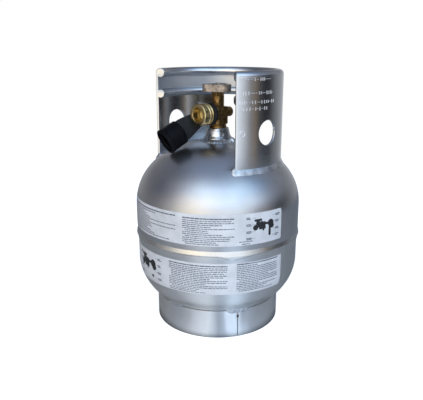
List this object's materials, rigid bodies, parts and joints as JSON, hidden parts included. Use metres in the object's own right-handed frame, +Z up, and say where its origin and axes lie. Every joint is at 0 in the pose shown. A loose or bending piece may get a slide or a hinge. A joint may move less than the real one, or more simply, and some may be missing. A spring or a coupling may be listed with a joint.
{
  "type": "propane tank",
  "caption": "Small refillable aluminium propane tank: domed two-piece shell on a foot ring, C-shaped guard collar with hand holes, brass service valve, tethered dust cap.",
  "frame": {"origin": "centre of the foot ring's underside, on the tank's axis", "axes": "+Z up along the tank's axis, -Y out of the collar's opening and along the valve's outlet, +X to the right as seen from the front"},
  "size_m": [0.2622, 0.2622, 0.3985],
  "materials": {
    "shell": "satin",
    "weld": "as welded",
    "boss": "machined",
    "foot": "brushed",
    "collar": "extruded, satin",
    "label": "satin sticker",
    "brass": "tarnished",
    "handwheel": "cast, worn",
    "steel": "plated",
    "seal": "matt",
    "nylon": "matt",
    "plastic": "matt",
    "float": "foam",
    "rubber": "matt, dusty"
  },
  "bodies": {
    "tank": {"upper_shell": "shell", "lower_shell": "shell", "girth_weld": "weld", "neck_boss": "boss", "boss_weld": "weld", "foot_ring": "foot", "foot_welds": "weld", "collar": "collar", "collar_welds": "weld", "upper_label": "label", "lower_label": "label", "valve_body": "brass", "gland_nut": "brass", "outlet_seat_ring": "brass", "outlet_spring": "steel", "relief_retainer": "brass", "relief_spring": "steel", "vent_tube": "brass", "float_valve_housing": "brass", "float_pin": "steel"},
    "handwheel": {"handwheel": "handwheel", "handwheel_nut": "steel", "upper_spindle": "brass", "spindle_seals": "seal"},
    "plug": {"lower_spindle": "brass", "seat_disc": "nylon"},
    "outlet_check": {"outlet_poppet": "plastic"},
    "relief_valve": {"relief_poppet": "brass", "relief_seal": "seal"},
    "vent_screw": {"vent_screw": "brass"},
    "float": {"float_arm": "plastic", "float": "float"},
    "float_valve": {"float_valve_piston": "plastic"},
    "tether": {"cap_tether": "rubber"},
    "cap": {"dust_cap": "rubber"}
  },
  "joints": [
    {"name": "handwheel_turn", "type": "hinge", "parent": "tank", "child": "handwheel", "pos_m": [0, 0, 0.37], "axis": [0, 0, 1], "range_deg": [0, 540]},
    {"name": "plug_lift", "type": "slide", "parent": "handwheel", "child": "plug", "axis": [0, 0, 1], "range_m": [0, 0.00272]},
    {"name": "outlet_push", "type": "slide", "parent": "tank", "child": "outlet_check", "axis": [0, 1, 0], "range_m": [0, 0.004], "stiffness_N_per_m": 300, "springref_m": -0.005, "deforming": ["outlet_spring"]},
    {"name": "relief_lift", "type": "slide", "parent": "tank", "child": "relief_valve", "axis": [0, 1, 0], "range_m": [0, 0.0025], "stiffness_N_per_m": 800, "springref_m": -0.006, "deforming": ["relief_spring"]},
    {"name": "vent_turn", "type": "hinge", "parent": "tank", "child": "vent_screw", "pos_m": [-0.02, 0, 0.3325], "axis": [-1, 0, 0], "range_deg": [0, 360]},
    {"name": "float_swing", "type": "hinge", "parent": "tank", "child": "float", "pos_m": [0, 0, 0.258], "axis": [0, -1, 0], "range_deg": [0, 50]},
    {"name": "float_valve_lift", "type": "slide", "parent": "tank", "child": "float_valve", "axis": [0, 0, 1], "range_m": [0, 0.00321]},
    {"name": "tether_turn", "type": "hinge", "parent": "tank", "child": "tether", "pos_m": [0, -0.02, 0.3325], "axis": [0, 1, 0], "range_deg": [0, 270]},
    {"name": "cap_flex", "type": "hinge", "parent": "tether", "child": "cap", "pos_m": [-0.0251, -0.05415, 0.30726], "axis": [-0.37, -0.3724, 0.8511], "range_deg": [0, 30]}
  ],
  "couplings": [
    {"joint": "plug_lift", "follows": "handwheel_turn", "m_per_rad": 0.000288},
    {"joint": "float_valve_lift", "follows": "float_swing", "m_per_rad": 0.0036669}
  ]
}
